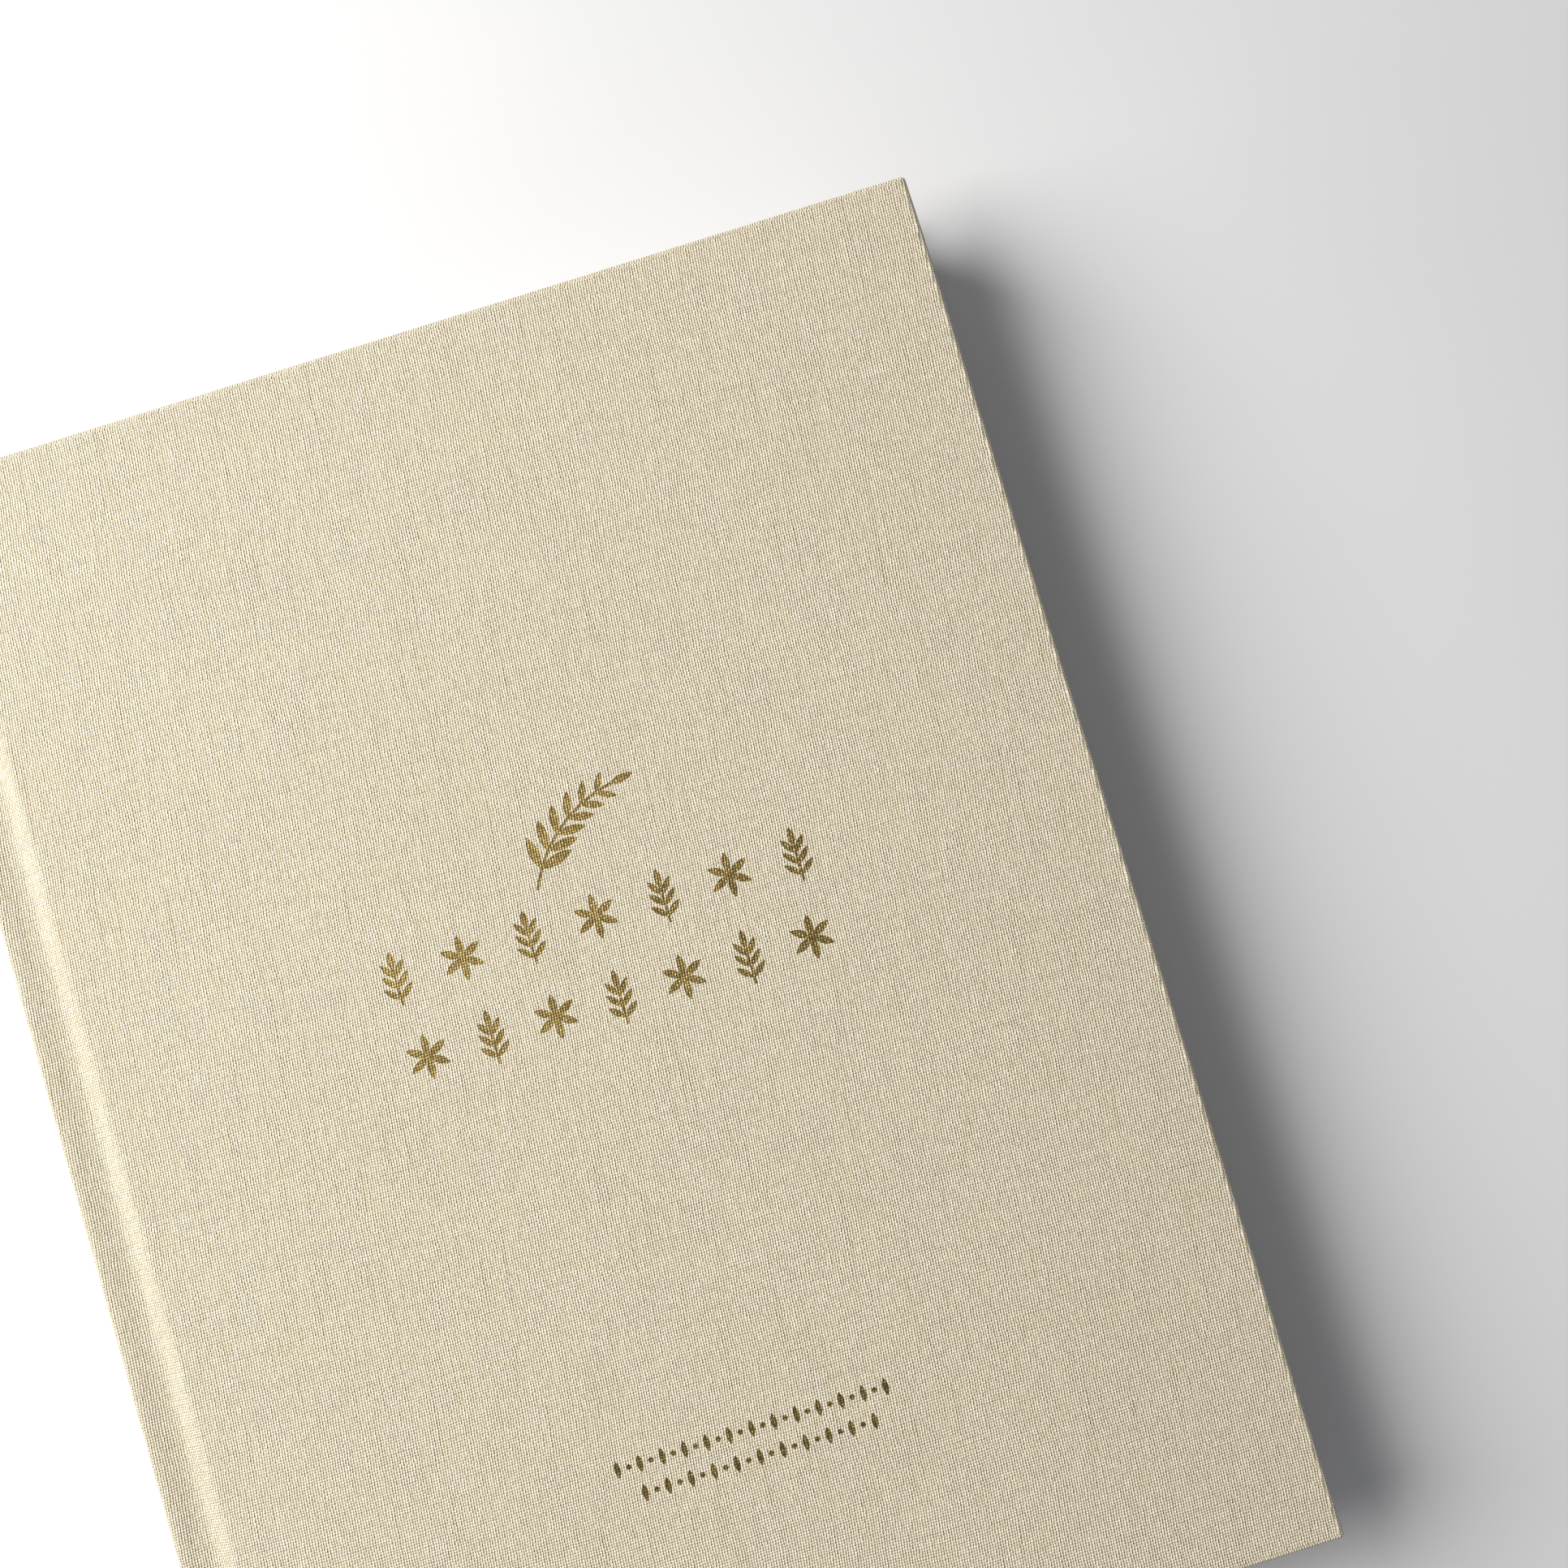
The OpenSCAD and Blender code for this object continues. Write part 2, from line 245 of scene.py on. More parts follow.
class Paint:
    """One material and its nodes."""

    def __init__(self, name, place="OBJECT"):
        self.material = bpy.data.materials.new(name)
        self.material.use_nodes = True
        self.tree = self.material.node_tree
        self.shader = self.tree.nodes["Principled BSDF"]
        if place == "OBJECT":
            where = self.tree.nodes.new("ShaderNodeTexCoord").outputs["Object"]
            scale = 1 / MM
        else:
            attribute = self.tree.nodes.new("ShaderNodeAttribute")
            attribute.attribute_name = place
            where, scale = attribute.outputs["Vector"], 1.0
        split = self.tree.nodes.new("ShaderNodeSeparateXYZ")
        self.tree.links.new(where, split.inputs[0])
        self.x, self.y, self.z = (Field(self.tree, s) * scale for s in split.outputs)

    def noise(self, x, y, z, detail=0.0, rough=0.5):
        join = self.tree.nodes.new("ShaderNodeCombineXYZ")
        for value, slot in zip((x, y, z), join.inputs):
            if isinstance(value, Field):
                self.tree.links.new(value.socket, slot)
            else:
                slot.default_value = value
        texture = self.tree.nodes.new("ShaderNodeTexNoise")
        self.tree.links.new(join.outputs[0], texture.inputs["Vector"])
        texture.inputs["Scale"].default_value = 1.0
        texture.inputs["Detail"].default_value = detail
        texture.inputs["Roughness"].default_value = rough
        return Field(self.tree, texture.outputs["Fac"])

    def mix(self, amount, low, high):
        """Colour from low to high as amount goes from 0 to 1."""
        node = self.tree.nodes.new("ShaderNodeMix")
        node.data_type = "RGBA"
        self.tree.links.new(amount.socket, node.inputs["Factor"])
        for value, slot in ((low, node.inputs[6]), (high, node.inputs[7])):
            if isinstance(value, Field):
                self.tree.links.new(value.socket, slot)
            else:
                slot.default_value = (*value, 1)
        return Field(self.tree, node.outputs[2])

    def set(self, **values):
        for name, value in values.items():
            slot = self.shader.inputs[name.replace("_", " ")]
            if isinstance(value, Field):
                self.tree.links.new(value.socket, slot)
            elif isinstance(value, tuple):
                slot.default_value = (*value, 1)
            else:
                slot.default_value = value

    def bump(self, height, depth_mm):
        node = self.tree.nodes.new("ShaderNodeBump")
        node.inputs["Strength"].default_value = 1.0
        node.inputs["Distance"].default_value = depth_mm * MM
        self.tree.links.new(height.socket, node.inputs["Height"])
        self.tree.links.new(node.outputs["Normal"], self.shader.inputs["Normal"])


# The weave, in millimetres
THREAD = 0.427
WARP_LEAN = math.tan(math.radians(5.3))
WARP_SWAY, WEFT_SWAY, WOBBLE = 0.9, 0.8, 0.20
RUN_LENGTH = 11
WARP_DASH, WEFT_DASH = 1.3, 1.1
STREAK_LENGTH = 24

# Steps through the noise from one yarn to the next: long ones make neighbours differ
RUN_STEP, KNOT_STEP, DASH_STEP = 3.73, 3.37, 5.77
STREAK_STEP = 0.61

YARN_LOW = (0.740, 0.662, 0.500)
YARN_HIGH = (0.945, 0.876, 0.738)
YARN_SLUB = (0.965, 0.905, 0.780)
YARN_FLECK = (0.580, 0.490, 0.330)
# Colour in the weave's gaps: the dark backing between threads, and painted shade in the hollows.
YARN_GAP_BACKING_AND_SHADE = (0.285, 0.225, 0.110)
CLOTH_RELIEF = 0.24

FOIL_LOW = (0.170, 0.120, 0.042)
FOIL_HIGH = (0.350, 0.262, 0.102)
# Foil colour in the weave's hollows: painted shade.
FOIL_GAP_SHADE = (0.085, 0.058, 0.022)
FOIL_WORN = (0.46, 0.40, 0.26)
FOIL_RELIEF = 0.09

LEAF_COLOURS = (0.635, 0.615, 0.565), (0.70, 0.685, 0.64)
END_COLOURS = (0.62, 0.59, 0.52), (0.685, 0.66, 0.60)
FLOOR_COLOURS = (0.665, 0.667, 0.670), (0.685, 0.685, 0.686)

MULL_MESH = 1.1
BAND_STRIPE, BAND_STRAND = 2.6, 0.325


def weave(paint):
    """Plain weave at the paint's place.

    Gives its height, its gaps (darkened for the backing between the threads and as painted shade),
    how thick each yarn runs, and how far each crossing stands up.
    """
    x = paint.x + (paint.noise(paint.y / 14, paint.x / 45, 1.3) - 0.5) * WARP_SWAY
    x = x + (paint.noise(paint.y / 1.5, paint.x / 1.1, 3.7) - 0.5) * WOBBLE
    y = paint.y + (paint.noise(paint.x / 16, paint.y / 40, 5.1) - 0.5) * WEFT_SWAY
    y = y + (paint.noise(paint.x / 1.5, paint.y / 1.1, 6.9) - 0.5) * WOBBLE
    a, b = (x - y * WARP_LEAN) / THREAD, y / THREAD
    warp, weft = a.wave(), b.wave()
    warp_run = paint.noise(a.nearest() * RUN_STEP, y / RUN_LENGTH, 2.0, detail=1.0)
    weft_run = paint.noise(x / RUN_LENGTH, b.nearest() * RUN_STEP, 8.0, detail=1.0)
    knot = paint.noise(a.nearest() * KNOT_STEP, b.nearest() * KNOT_STEP, 12.0)
    warp_top = a.swing() * b.swing() * 0.5 + 0.5
    raised = warp * warp_top * (warp_run.between(0.30, 0.70) * 0.55 + 0.60)
    raised = raised + weft * (1 - warp_top) * (weft_run.between(0.30, 0.70) * 0.45 + 0.45)
    height = raised * (knot * 0.6 + 0.70)
    warp_slot, weft_slot = a.math("FLOOR"), b.math("FLOOR")
    warp_dash = paint.noise(warp_slot * DASH_STEP, y / WARP_DASH, 21.0, detail=1.0)
    weft_dash = paint.noise(x / WEFT_DASH, weft_slot * DASH_STEP, 33.0, detail=1.0)
    streak = paint.noise(warp_slot * STREAK_STEP, y / STREAK_LENGTH, 41.0, detail=1.0)
    # How dark each gap is painted, broken by dashes and long streaks: dark backing plus painted
    # shade in the hollows.
    warp_dark = warp_dash.between(0.36, 0.64) * 0.32 + streak.between(0.58, 0.74) * 0.22 + 0.51
    weft_dark = weft_dash.between(0.38, 0.68) * 0.28 + 0.31
    gap_backing_and_shade = (1 - warp).between(0.30, 1.0) * warp_dark
    gap_backing_and_shade = gap_backing_and_shade.math("MAXIMUM", (1 - weft).between(0.40, 1.0) * weft_dark)
    run = warp_run * warp_top + weft_run * (1 - warp_top)
    return height, gap_backing_and_shade, run, knot


def cloth_paint():
    """Natural linen-look book cloth."""
    paint = Paint("linen_book_cloth", "rest_place")
    height, gap_backing_and_shade, run, knot = weave(paint)
    blotch = paint.noise(paint.x / 30, paint.y / 30, 4.0, detail=1.0)
    fleck = paint.noise(paint.x / 0.9, paint.y / 0.9, 9.0, detail=2.0, rough=0.7)
    slub = run.between(0.60, 0.74)
    tone = (run * 0.55 + knot * 0.45).between(0.30, 0.70)
    yarn = paint.mix(tone, YARN_LOW, YARN_HIGH)
    yarn = paint.mix(slub * 0.6, yarn, YARN_SLUB)
    yarn = paint.mix(blotch.between(0.35, 0.70) * 0.10, yarn, YARN_LOW)
    yarn = paint.mix(fleck.between(0.66, 0.78) * 0.30, yarn, YARN_FLECK)
    paint.set(
        # The gaps are painted darker: the backing between threads, plus painted shade.
        Base_Color=paint.mix(gap_backing_and_shade, yarn, YARN_GAP_BACKING_AND_SHADE),
        Roughness=height * -0.14 + 0.93,
        Specular_IOR_Level=0.32,
        Sheen_Weight=0.15,
        Sheen_Roughness=0.5,
        Sheen_Tint=(1.0, 0.95, 0.84),
    )
    paint.bump(height + slub * 0.22 + (fleck - 0.5) * 0.35, CLOTH_RELIEF)
    return paint.material


def foil_paint():
    """Antique gold foil pressed into the weave."""
    paint = Paint("antique_gold_foil")
    height, gap_backing_and_shade, _, knot = weave(paint)
    rub = paint.noise(paint.x / 0.30, paint.y / 0.30, 3.0, detail=3.0, rough=0.7)
    cloud = paint.noise(paint.x / 6, paint.y / 6, 3.0, detail=2.0)
    worn = (rub + (gap_backing_and_shade - 0.3) * 0.06).between(0.64, 0.72)
    gold = paint.mix((cloud * 0.4 + knot * 0.6).between(0.3, 0.7), FOIL_LOW, FOIL_HIGH)
    # The foil in the weave's hollows is painted darker: painted shade.
    gold = paint.mix(gap_backing_and_shade * 0.8, gold, FOIL_GAP_SHADE)
    paint.set(
        Base_Color=paint.mix(worn, gold, FOIL_WORN),
        Metallic=worn * -0.8 + 1.0,
        Roughness=rub * 0.25 + (worn * 0.4 + 0.30),
    )
    paint.bump(height * 0.8 + rub * 0.5, FOIL_RELIEF)
    return paint.material


def paper_paint(name, low, high, grain):
    """Uncoated paper: fine felt texture and faint clouding."""
    paint = Paint(name, "rest_place")
    felt = paint.noise(paint.x / 0.5, paint.y / 0.35, paint.z / 0.5, detail=4.0, rough=0.7)
    cloud = paint.noise(paint.x / 9, paint.y / 9, paint.z / 3, detail=3.0)
    paint.set(
        Base_Color=paint.mix((cloud * 0.35 + felt * 0.65).between(0.30, 0.70), low, high),
        Roughness=felt * 0.22 + 0.72,
        Specular_IOR_Level=0.28,
    )
    paint.bump(felt, grain)
    return paint.material


def board_paint():
    """Grey book board with its flecks."""
    paint = Paint("greyboard")
    fibre = paint.noise(paint.x / 0.8, paint.y / 0.4, paint.z / 0.3, detail=4.0, rough=0.7)
    fleck = paint.noise(paint.x / 0.5, paint.y / 0.5, paint.z / 0.5, detail=1.0)
    grey = paint.mix(fibre.between(0.3, 0.7), (0.20, 0.185, 0.165), (0.33, 0.315, 0.285))
    paint.set(
        Base_Color=paint.mix(fleck.between(0.68, 0.74), grey, (0.10, 0.09, 0.08)),
        Roughness=fibre * 0.15 + 0.82,
    )
    paint.bump(fibre, 0.05)
    return paint.material


def kraft_paint():
    """Brown lining paper with long fibres."""
    paint = Paint("kraft_paper")
    fibre = paint.noise(paint.x / 0.4, paint.y / 3.0, paint.z / 0.4, detail=4.0, rough=0.65)
    paint.set(
        Base_Color=paint.mix(fibre.between(0.3, 0.7), (0.36, 0.225, 0.115), (0.53, 0.365, 0.21)),
        Roughness=fibre * 0.2 + 0.7,
    )
    paint.bump(fibre, 0.03)
    return paint.material


def gauze_paint(place):
    """Starched open-weave mull, its holes let through."""
    paint = Paint("mull_gauze", place)
    a, b = (paint.x + paint.z) / MULL_MESH, paint.y / MULL_MESH
    net = a.wave().math("MAXIMUM", b.wave())
    fray = paint.noise(paint.x / 1.5, paint.y / 1.5, paint.z / 1.5, detail=2.0)
    paint.set(
        Base_Color=paint.mix(fray.between(0.3, 0.7), (0.68, 0.65, 0.56), (0.82, 0.80, 0.72)),
        Roughness=fray * 0.2 + 0.75,
        Alpha=(net + (fray - 0.5) * 0.3).between(0.55, 0.72),
    )
    paint.bump(net, 0.15)
    return paint.material


def thread_paint():
    """Waxed linen sewing thread, twisted."""
    paint = Paint("linen_thread")
    twist = (paint.z / 0.45 + paint.x / 0.3 + paint.y / 0.6).wave()
    # The twist's hollows are painted darker than its crests: painted shade between the plies.
    paint.set(
        Base_Color=paint.mix(twist, (0.56, 0.50, 0.38), (0.84, 0.80, 0.70)),
        Roughness=twist * -0.15 + 0.65,
    )
    paint.bump(twist, 0.05)
    return paint.material


def band_paint():
    """Woven headband: cream and ecru threads laid side by side."""
    paint = Paint("headband_silk")
    stripe = (paint.z / BAND_STRIPE).wave().between(0.42, 0.58)
    strand = (paint.z / BAND_STRAND).wave()
    silk = paint.mix(stripe, (0.86, 0.83, 0.76), (0.56, 0.455, 0.27))
    # Between the strands the silk is painted darker: painted shade in the grooves. The cream and
    # ecru stripes are the band's own colours.
    paint.set(
        Base_Color=paint.mix(strand * 0.4 + 0.6, (0.30, 0.25, 0.17), silk),
        Roughness=strand * -0.2 + 0.55,
        Sheen_Weight=0.25,
        Sheen_Roughness=0.35,
    )
    paint.bump(strand, 0.06)
    return paint.material


def floor_paint():
    """Plain pale table top."""
    paint = Paint("table_top")
    cloud = paint.noise(paint.x / 120, paint.y / 120, 0.0, detail=3.0)
    grain = paint.noise(paint.x / 1.2, paint.y / 1.2, 0.0, detail=3.0)
    paint.set(
        Base_Color=paint.mix(cloud.between(0.3, 0.7), *FLOOR_COLOURS),
        Roughness=grain * 0.15 + 0.6,
        Specular_IOR_Level=0.25,
    )
    paint.bump(grain, 0.01)
    return paint.material


cloth = cloth_paint()
foil = foil_paint()
leaf_paper = paper_paint("leaf_paper", *LEAF_COLOURS, 0.012)
end_paper = paper_paint("end_paper", *END_COLOURS, 0.02)
greyboard = board_paint()
kraft = kraft_paint()
gauze = gauze_paint("rest_place")
flap_gauze = gauze_paint("OBJECT")
thread = thread_paint()
silk = band_paint()

FLOOR, FLOOR_Z = 3.0, -0.0004
floor_mesh = bpy.data.meshes.new("floor")
floor_mesh.from_pydata(
    [(x * FLOOR, y * FLOOR, FLOOR_Z) for x, y in ((-1, -1), (1, -1), (1, 1), (-1, 1))],
    [],
    [(0, 1, 2, 3)],
)
floor_mesh.materials.append(floor_paint())
floor = bpy.data.objects.new("floor", floor_mesh)
scene.collection.objects.link(floor)


# ---- Places from the frame, and the sizes of the sheets ----

EDGE = 0.8
TURN_IN = 15.0
PAPER = 0.15
cover_low, cover_high = span_of("front_cloth")
case_low, case_high = span_of("spine_cloth")
board_low, _ = span_of("front_board")
block_low, block_high = span_of("section_1")
last_low, _ = span_of("section_10")
paste_low, paste_high = span_of("front_pastedown")
case_t = cover_high[2]
half_t = case_t / 2
ridge_z = case_high[2]
half_h = cover_high[1]
leaf_half = paste_high[1]
spine_x, fore_x = case_low[0], cover_high[0]
inside_x = case_high[0]
block_x = block_low[0]
leaf_fore = block_high[0]
board_x = board_low[0]
joint_at = {j["name"]: j["pos_m"] for j in frame["joints"]}
hinge_x, _, hinge_z = (c / MM for c in joint_at["front_cover_hinge"])


def blend_cover(piece, back):
    """Bakes the piece's place into its mesh; the hinge's height on the piece's side is worked out
    but not used.
    """
    z = case_t - hinge_z if back else hinge_z
    hinge_x * MM
    z * MM
    z * MM
    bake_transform(piece)


def mirrored(points):
    """The same places at the back of the book."""
    points = np.array(points, float)
    points[..., 2] = case_t - points[..., 2]
    return points


# ---- Book cloth: cover, edges, joint and spine as one sheet on each side of the spine ----

GROOVE_Z = ridge_z - 0.7
GROOVE_RUN = 4.9
INNER_Z = cover_low[2] + 0.02
SPINE_TURN_Z = INNER_Z - 0.4
SPINE_SHARE = 0.4

FOLD_ANGLES = np.radians([0, 2, 8, 18, 30, 45, 60, 75, 90])
TURN_IN_STOPS = (0.8, 1.8, 2.8, 3.6, 6.0, 10.0, TURN_IN - EDGE)
CORNER_ANGLES = np.radians([12, 24, 34, 40, 45, 50, 56, 66, 78])
FLAT_DEPTH = 0.16
RIPPLE, TUCK = 0.035, 0.30
MITRE_LAP = 0.045


def case_path():
    """Outer and inner line of the cloth in X and Z, from mid-spine to the flat of the cover."""
    rise_z = ridge_z - EDGE
    up = [(spine_x, z) for z in np.linspace(half_t, rise_z, 12)]
    bend = [
        (spine_x + EDGE - EDGE * math.cos(a), rise_z + EDGE * math.sin(a))
        for a in np.radians([15, 30, 45, 60, 75, 90])
    ]
    ridge = spine_x + EDGE
    floor_x = ridge + GROOVE_RUN
    slope = bezier(
        (ridge, ridge_z), (ridge + 1.6, ridge_z), (ridge + 3.0, GROOVE_Z), (floor_x, GROOVE_Z), 22
    )[1:]
    wall = bezier(
        (floor_x, GROOVE_Z), (floor_x + 1.5, GROOVE_Z), (FLAT_X - 1.6, case_t), (FLAT_X, case_t), 22
    )[1:]
    outer = np.array([*up, *bend, *slope, *wall])
    meet_x = spine_x + SPINE_SHARE * (FLAT_X - spine_x)
    inner = []
    for x, z in outer:
        share = min(1.0, (x - spine_x) / (FLAT_X - spine_x) / SPINE_SHARE)
        if x <= spine_x + 1e-6:
            up_share = (SPINE_TURN_Z - half_t) / (rise_z - half_t)
            inner.append((inside_x, half_t + (z - half_t) * up_share))
        else:
            inner_x = inside_x + share * (meet_x - inside_x) if share < 1 else x
            inner_z = SPINE_TURN_Z + (INNER_Z - SPINE_TURN_Z) * min(1.0, share / SPINE_SHARE)
            inner.append((inner_x, inner_z))
    return outer, np.array(inner)


def fold_profile(depth):
    """Distance out, depth and arc length of the cloth as it goes over an edge and turns in."""
    drop = min(EDGE, depth / 2)
    rows = [(EDGE * math.sin(a), drop * (1 - math.cos(a))) for a in FOLD_ANGLES]
    for f in (0.25, 0.5, 0.75):
        rows.append((EDGE, drop + f * (depth - 2 * drop)))
    rows += [(EDGE * math.sin(a), depth - drop * (1 - math.cos(a))) for a in FOLD_ANGLES[::-1]]
    rows += [(-d, depth) for d in TURN_IN_STOPS]
    return rows, run_along(rows)


def cloth_half(name, flat_points, flat_faces, back):
    """The cloth of one cover with its joint and its half of the spine.

    The edge is a row of stations round the sheet. Each has the place where the cloth leaves the
    flat, the way out, the way in to the turn-in, its place on the flat sheet and its kind.
    """
    outer, inner = case_path()
    run = run_along(outer)
    run = FLAT_X - (run[-1] - run)
    top_y = half_h - EDGE
    corner_x = fore_x - EDGE
    inward = (0, 0, INNER_Z - case_t)
    stations = []
    for side in (1, -1):
        y = side * top_y
        part = [((x, y, z), (0, side, 0), (ix - x, 0, iz - z), (u, y), "joint")
                for (x, z), (ix, iz), u in list(zip(outer, inner, run))[:-1]]
        part += [((x, y, case_t), (0, side, 0), inward, (x, y), "end")
                 for x in np.linspace(FLAT_X, corner_x, 60)]
        part += [((corner_x, y, case_t), (math.sin(a), side * math.cos(a), 0), inward,
                  (corner_x, y), "corner") for a in CORNER_ANGLES]
        stations += part if side == 1 else part[::-1]
        if side == 1:
            stations += [((corner_x, fore_y, case_t), (1, 0, 0), inward, (corner_x, fore_y), "fore")
                         for fore_y in np.linspace(top_y, -top_y, 80)]

    rows, places = [], []
    for *vectors, place, kind in stations:
        base, out, inward = (np.array(v, float) for v in vectors)
        deep = np.linalg.norm(inward)
        inward = inward / deep
        profile, lengths = fold_profile(deep)
        tuck = 0.0
        if kind == "corner":
            tuck = max(0.0, 1 - abs(math.atan2(out[0], abs(out[1])) - math.pi / 4) / 0.2)
        row, flat = [], []
        for (d, h), length in zip(profile, lengths):
            spot = base + inward * h
            if d >= 0:
                reach = d
                if d > 0.3:
                    reach += RIPPLE * drift(place[0] / 6, place[1] / 6, seed=1.0 + back)
                    reach -= TUCK * tuck * min(1.0, max(0.0, (h - 0.9) / 0.5))
                spot = spot + out * min(reach, EDGE)
            elif kind == "joint":
                spot = spot + out * d
            elif kind == "end":
                x, y = min(base[0], corner_x + d), base[1] + math.copysign(d, -base[1])
                spot = np.array([x, y, spot[2]])
            else:
                y = base[1] + math.copysign(d, -base[1])
                if kind == "fore":
                    y = float(np.clip(base[1], -top_y - d, top_y + d))
                spot = np.array([corner_x + d, y, spot[2] + MITRE_LAP * min(1.0, -d)])
            row.append(spot)
            flat.append((place[0] + out[0] * length, place[1] + out[1] * length,
                         min(1.0, length / 2)))
        rows.append(row)
        places.append(flat)

    shape = Shape()
    turned = mirrored if back else np.array
    shape.grid(turned(rows), places, flip=back)
    sheet_y = np.linspace(-top_y, top_y, 47)
    strip = [[(x, y, z) for y in sheet_y] for x, z in outer]
    strip_place = [[(u, y, 0.0) for y in sheet_y] for u in run]
    shape.grid(turned(strip), strip_place, flip=not back)
    shape.add(turned(flat_points), [f[::-1] for f in flat_faces] if back else flat_faces,
              [(p[0], p[1], 0.0) for p in flat_points])
    piece = shape.piece(name, cloth)
    blend_cover(piece, back)
    return piece


def stamped_face():
    """The flat of the front cover with its stamped pockets, from the CAD cloth's own faces."""
    bm = bmesh.new()
    bm.from_mesh(nodes["front_cloth"].data)
    bmesh.ops.remove_doubles(bm, verts=bm.verts, dist=1e-7)
    high = [v.co for v in bm.verts if v.co.z / MM > case_t - 0.001]
    low_x, high_x = min(c.x for c in high) - 1e-6, max(c.x for c in high) + 1e-6
    high_y = max(c.y for c in high) + 1e-6
    faces = [
        f for f in bm.faces
        if all(low_x < v.co.x < high_x and abs(v.co.y) < high_y
               and v.co.z / MM > case_t - FLAT_DEPTH for v in f.verts)
    ]
    used = {v: i for i, v in enumerate(dict.fromkeys(v for f in faces for v in f.verts))}
    points = [tuple(c / MM for c in v.co) for v in used]
    polygons = [tuple(used[v] for v in f.verts) for f in faces]
    bm.free()
    return points, polygons, low_x / MM


def plain_face():
    """The flat of the back cover, as front-side places."""
    cols, rows = 34, 46
    xs = np.linspace(FLAT_X, fore_x - EDGE, cols)
    ys = np.linspace(-half_h + EDGE, half_h - EDGE, rows)
    points = [(x, y, case_t) for x in xs for y in ys]
    starts = [i * rows + j for i in range(cols - 1) for j in range(rows - 1)]
    return points, [(a, a + rows, a + rows + 1, a + 1) for a in starts]


face_points, face_polygons, FLAT_X = stamped_face()
front_cover_cloth = cloth_half("book_cloth_front", face_points, face_polygons, False)
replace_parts(front_cover_cloth, "front_cloth", "front_joint_cloth")
back_cover_cloth = cloth_half("book_cloth_back", *plain_face(), True)
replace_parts(back_cover_cloth, "back_cloth", "back_joint_cloth", "spine_cloth")


# ---- Paper ----


def slab(shape, xs, ys, low, high):
    """A thin closed sheet between two heights, each a function of x and y."""
    under = [[(x, y, low(x, y)) for y in ys] for x in xs]
    over = [[(x, y, high(x, y)) for y in ys] for x in xs]
    shape.grid(over, flip=True)
    shape.grid(under)
    rim = [(i, 0) for i in range(len(xs))]
    rim += [(len(xs) - 1, j) for j in range(1, len(ys))]
    rim += [(i, len(ys) - 1) for i in range(len(xs) - 2, -1, -1)]
    rim += [(0, j) for j in range(len(ys) - 2, -1, -1)]
    shape.grid([[under[i][j] for i, j in rim], [over[i][j] for i, j in rim]])


def endpaper(name, back):
    """Pastedown and joint strip as one paper, with the turn-ins showing faintly through it."""
    turn_x, turn_y, slope = fore_x - TURN_IN, half_h - TURN_IN, 0.7

    def inner_face(x, y):
        inside = min(1.0, max(0.0, (turn_x - x) / slope))
        inside *= min(1.0, max(0.0, (turn_y - abs(y)) / slope))
        inside *= min(1.0, max(0.0, (x - board_x - 1.0) / 1.2))
        ripple = 0.012 * drift(x / 18, y / 18, seed=3.0 + back)
        return paste_low[2] + (0.087 + ripple) * inside

    xs = steps(block_x, 26, board_x + 1, 4, board_x + 2.2, 30, turn_x - slope, 3, turn_x, 4,
               leaf_fore)
    ys = steps(-leaf_half, 3, -turn_y, 3, -turn_y + slope, 38, turn_y - slope, 3, turn_y, 3,
               leaf_half)
    shape = Shape()
    slab(shape, xs, ys, inner_face, lambda x, y: inner_face(x, y) + PAPER - 0.01)
    if back:
        shape.points = [tuple(p) for p in mirrored(shape.points)]
        shape.faces = [f[::-1] for f in shape.faces]
    piece = shape.piece(name, end_paper)
    blend_cover(piece, back)
    return piece


front_endpaper = endpaper("front_endpaper", False)
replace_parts(front_endpaper, "front_pastedown", "front_hinge_paper")
back_endpaper = endpaper("back_endpaper", True)
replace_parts(back_endpaper, "back_pastedown", "back_hinge_paper")

SECTIONS, LEAVES, LOOSE = 10, 10, 5
SECTION = (block_high[2] - last_low[2]) / SECTIONS
PITCH = SECTION / LEAVES
HALF_LEAF = PITCH * 0.43
LEAF_BEND = 12
TRIM_Y, TRIM_X = 0.05, 0.06
fold_x = block_x + SECTION / 2
block_top = block_high[2]


def turning_leaf(name, node, number, z, material, back=False):
    """A whole leaf from its fold to the fore edge; 0 is a flyleaf."""
    start = fold_x if number else block_x + 0.05
    ys = np.linspace(-1, 1, 25) * (leaf_half - TRIM_Y * slack(number * 3.1, 1.7))
    end = leaf_fore - TRIM_X * slack(number * 5.3, 4.1)
    xs = steps(start, 36, start + LEAF_BEND + 1, 30, end)
    half = HALF_LEAF if number else PAPER * 0.45

    def middle(x, y):
        edge = max(0.0, (x - end + 40) / 40)
        return z + 0.012 * edge * drift(y / 30, number * 2.3, seed=5.0)

    shape = Shape()
    slab(shape, xs, ys, lambda x, y: middle(x, y) - half, lambda x, y: middle(x, y) + half)
    piece = shape.piece(name, material)
    z_hinge = (case_t - hinge_z if back else hinge_z) * MM
    (start + 0.02) * MM
    (start + LEAF_BEND) * MM
    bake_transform(piece)
    (end - start) * MM
    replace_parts(piece, node)
    return piece


for side, back in (("front", False), ("back", True)):
    low, high = span_of(f"{side}_flyleaf")
    fly = turning_leaf(f"flyleaf_{side}", f"{side}_flyleaf", 0, (low[2] + high[2]) / 2,
                       end_paper, back)
for number in range(1, LOOSE + 1):
    leaf = turning_leaf(f"paper_leaf_{number}", f"leaf_{number}", number,
                        block_top - (number - 0.5) * PITCH, leaf_paper)


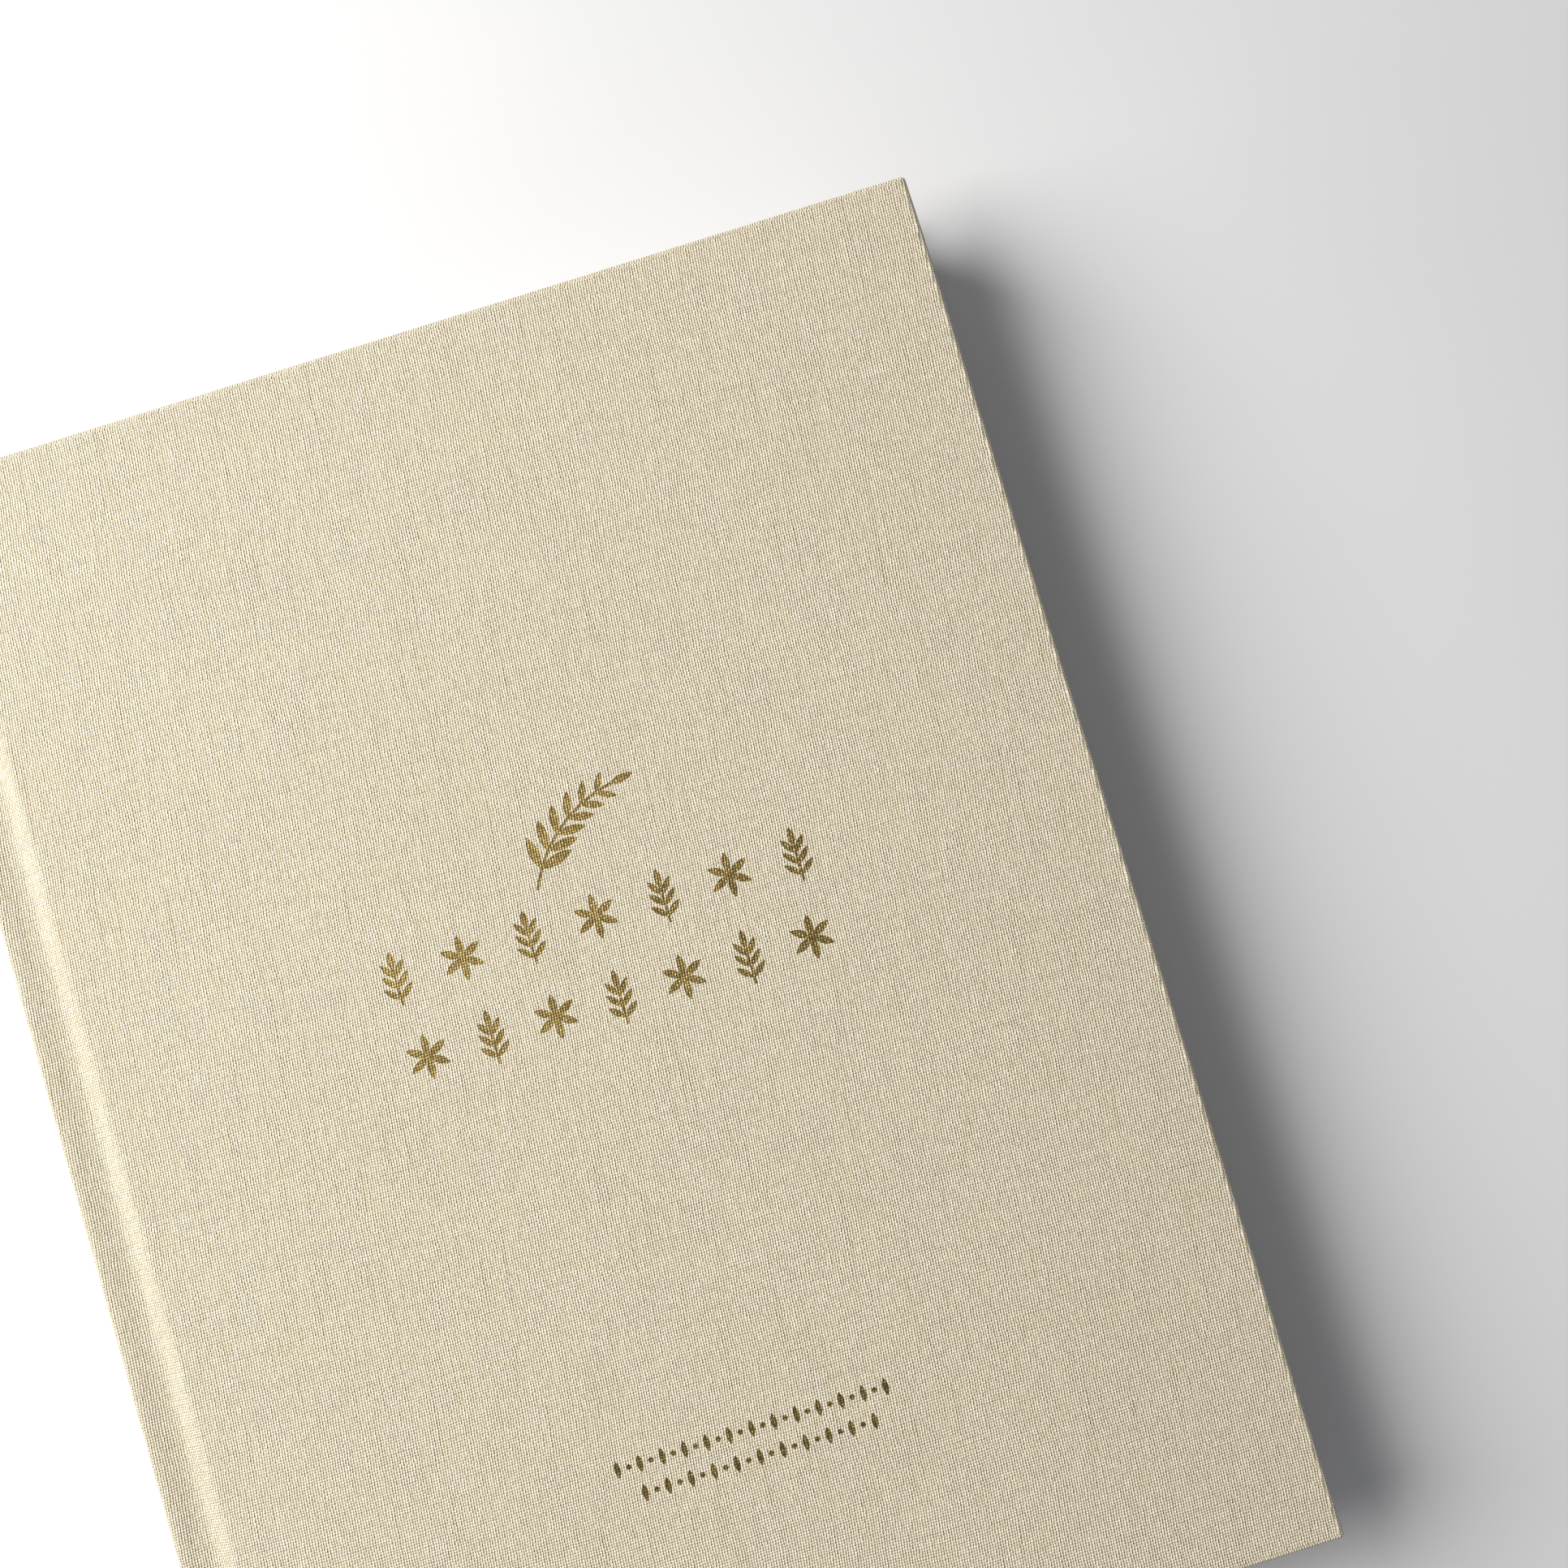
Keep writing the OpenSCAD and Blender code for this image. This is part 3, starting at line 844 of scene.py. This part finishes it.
def folded_section(number):
    """One section: nested folded sheets. The first one's upper leaves are the loose ones."""
    shape = Shape()
    middle = block_top - (number - 0.5) * SECTION
    ys = np.linspace(-1, 1, 21)
    arc = np.radians(np.linspace(90, 270, 9))
    for sheet in range(LEAVES // 2):
        radius = SECTION / 2 - (sheet + 0.5) * PITCH
        long_y = leaf_half - TRIM_Y * slack(number * 1.9, sheet * 2.7)
        ends = [leaf_fore - 0.07 * slack(number * 4.7, sheet * 3.3 + k * 9) for k in (0, 1)]

        def line(half):
            r = max(0.012, radius + half)
            near = [(fold_x + r * math.cos(a), r * math.sin(a)) for a in arc]
            top = [(x, radius + half) for x in steps(ends[0], 3, fold_x + 6)]
            low = [(x, -radius - half) for x in steps(fold_x + 6, 3, ends[1])]
            return near + low if number == 1 else top + near + low

        outside, within = line(HALF_LEAF), line(-HALF_LEAF)

        def laid(points, y):
            wave = 0.014 * drift(y * 3.1, number * 2.1 + sheet, seed=2.0)
            rise = wave / (leaf_fore - fold_x)
            return [(x, y * long_y, middle + z + rise * max(0.0, x - fold_x)) for x, z in points]

        shape.grid([laid(outside, y) for y in ys])
        shape.grid([laid(within, y) for y in ys], flip=True)
        shape.grid([laid([outside[0], within[0]], y) for y in ys], flip=True)
        shape.grid([laid([outside[-1], within[-1]], y) for y in ys])
        for y, turned in ((-1, False), (1, True)):
            shape.grid([laid(outside, y), laid(within, y)], flip=not turned)
    piece = shape.piece(f"folded_section_{number}", leaf_paper)
    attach(piece, "text_block")
    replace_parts(piece, f"section_{number}")


for number in range(1, SECTIONS + 1):
    folded_section(number)


# ---- Spine linings, bands and thread ----

mull_low, mull_high = span_of("mull")
_, lining_high = span_of("spine_lining")


def mull_half(name, back):
    """Half of the mull: down the back of the block, out through the joint."""
    ys = np.linspace(mull_low[1], mull_high[1], 41)
    x_back = (lining_high[0] + block_x) / 2
    z_joint = paste_high[2] + 0.1
    line = [(x_back, z) for z in np.linspace(half_t, z_joint - 0.15, 12)]
    line += [(x_back + 0.05, z_joint - 0.04), (x_back + 0.15, z_joint)]
    line += [(x, z_joint) for x in np.linspace(block_x, board_x + 0.5, 24)]
    shape = Shape()
    grid = [[(x, y, z) for y in ys] for x, z in line]
    run = run_along(line)
    place = [[(u, y, 0.0) for y in ys] for u in run]
    shape.grid(mirrored(grid) if back else grid, place, flip=not back)
    piece = shape.piece(name, gauze)
    blend_cover(piece, back)
    return piece


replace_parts(mull_half("mull_front_half", False), "mull")
mull_half("mull_back_half", True)


def woven_band(name, node, side):
    """A stuffed bead with thread wrapped round it, and the tape that holds it."""
    _, high = span_of(node)
    radius = (high[0] - block_x) / 2
    bead_x = block_x + radius
    bead_y = side * (leaf_half + radius)
    zs = np.arange(last_low[2] + 0.02, block_top - 0.02, 0.0405)
    angles = np.linspace(0, 2 * math.pi, 25)
    rows = []
    for z in zs:
        strand = abs(math.sin(math.pi * z / BAND_STRAND))
        r = radius * (0.90 + 0.10 * strand**0.6)
        end = min(z - zs[0], zs[-1] - z)
        r *= min(1.0, 0.55 + 0.45 * math.sqrt(min(1.0, end / 0.35)))
        rows.append([(bead_x + r * math.cos(a), bead_y + r * math.sin(a), z) for a in angles])
    shape = Shape()
    shape.grid(rows, flip=True)
    for row, turned in ((rows[0], True), (rows[-1], False)):
        hub = (bead_x, bead_y, row[0][2])
        shape.grid([row, [hub] * len(row)], flip=turned)
    tape_x = (lining_high[0] + 0.03, block_x - 0.03)
    tape_y = sorted((side * (leaf_half - 10), side * (leaf_half + 0.05)))
    tape = Shape()
    slab(tape, np.array(tape_x), np.linspace(*tape_y, 9),
         lambda x, y: last_low[2] + 0.02, lambda x, y: block_top - 0.02)
    shape.add(tape.points, tape.faces)
    piece = shape.piece(name, silk)
    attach(piece, "text_block")
    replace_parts(piece, node)


woven_band("headband_woven", "headband", 1)
woven_band("tailband_woven", "tailband", -1)

for name, material in {
    "front_board": greyboard,
    "back_board": greyboard,
    "spine_board": greyboard,
    "front_mull_flap": flap_gauze,
    "back_mull_flap": flap_gauze,
    "spine_lining": kraft,
    "sewing_thread": thread,
    "foil_sprig": foil,
    "foil_upper_row": foil,
    "foil_lower_row": foil,
    "foil_small_rows": foil,
}.items():
    mesh = nodes[name].data
    mesh.materials.clear()
    mesh.materials.append(material)
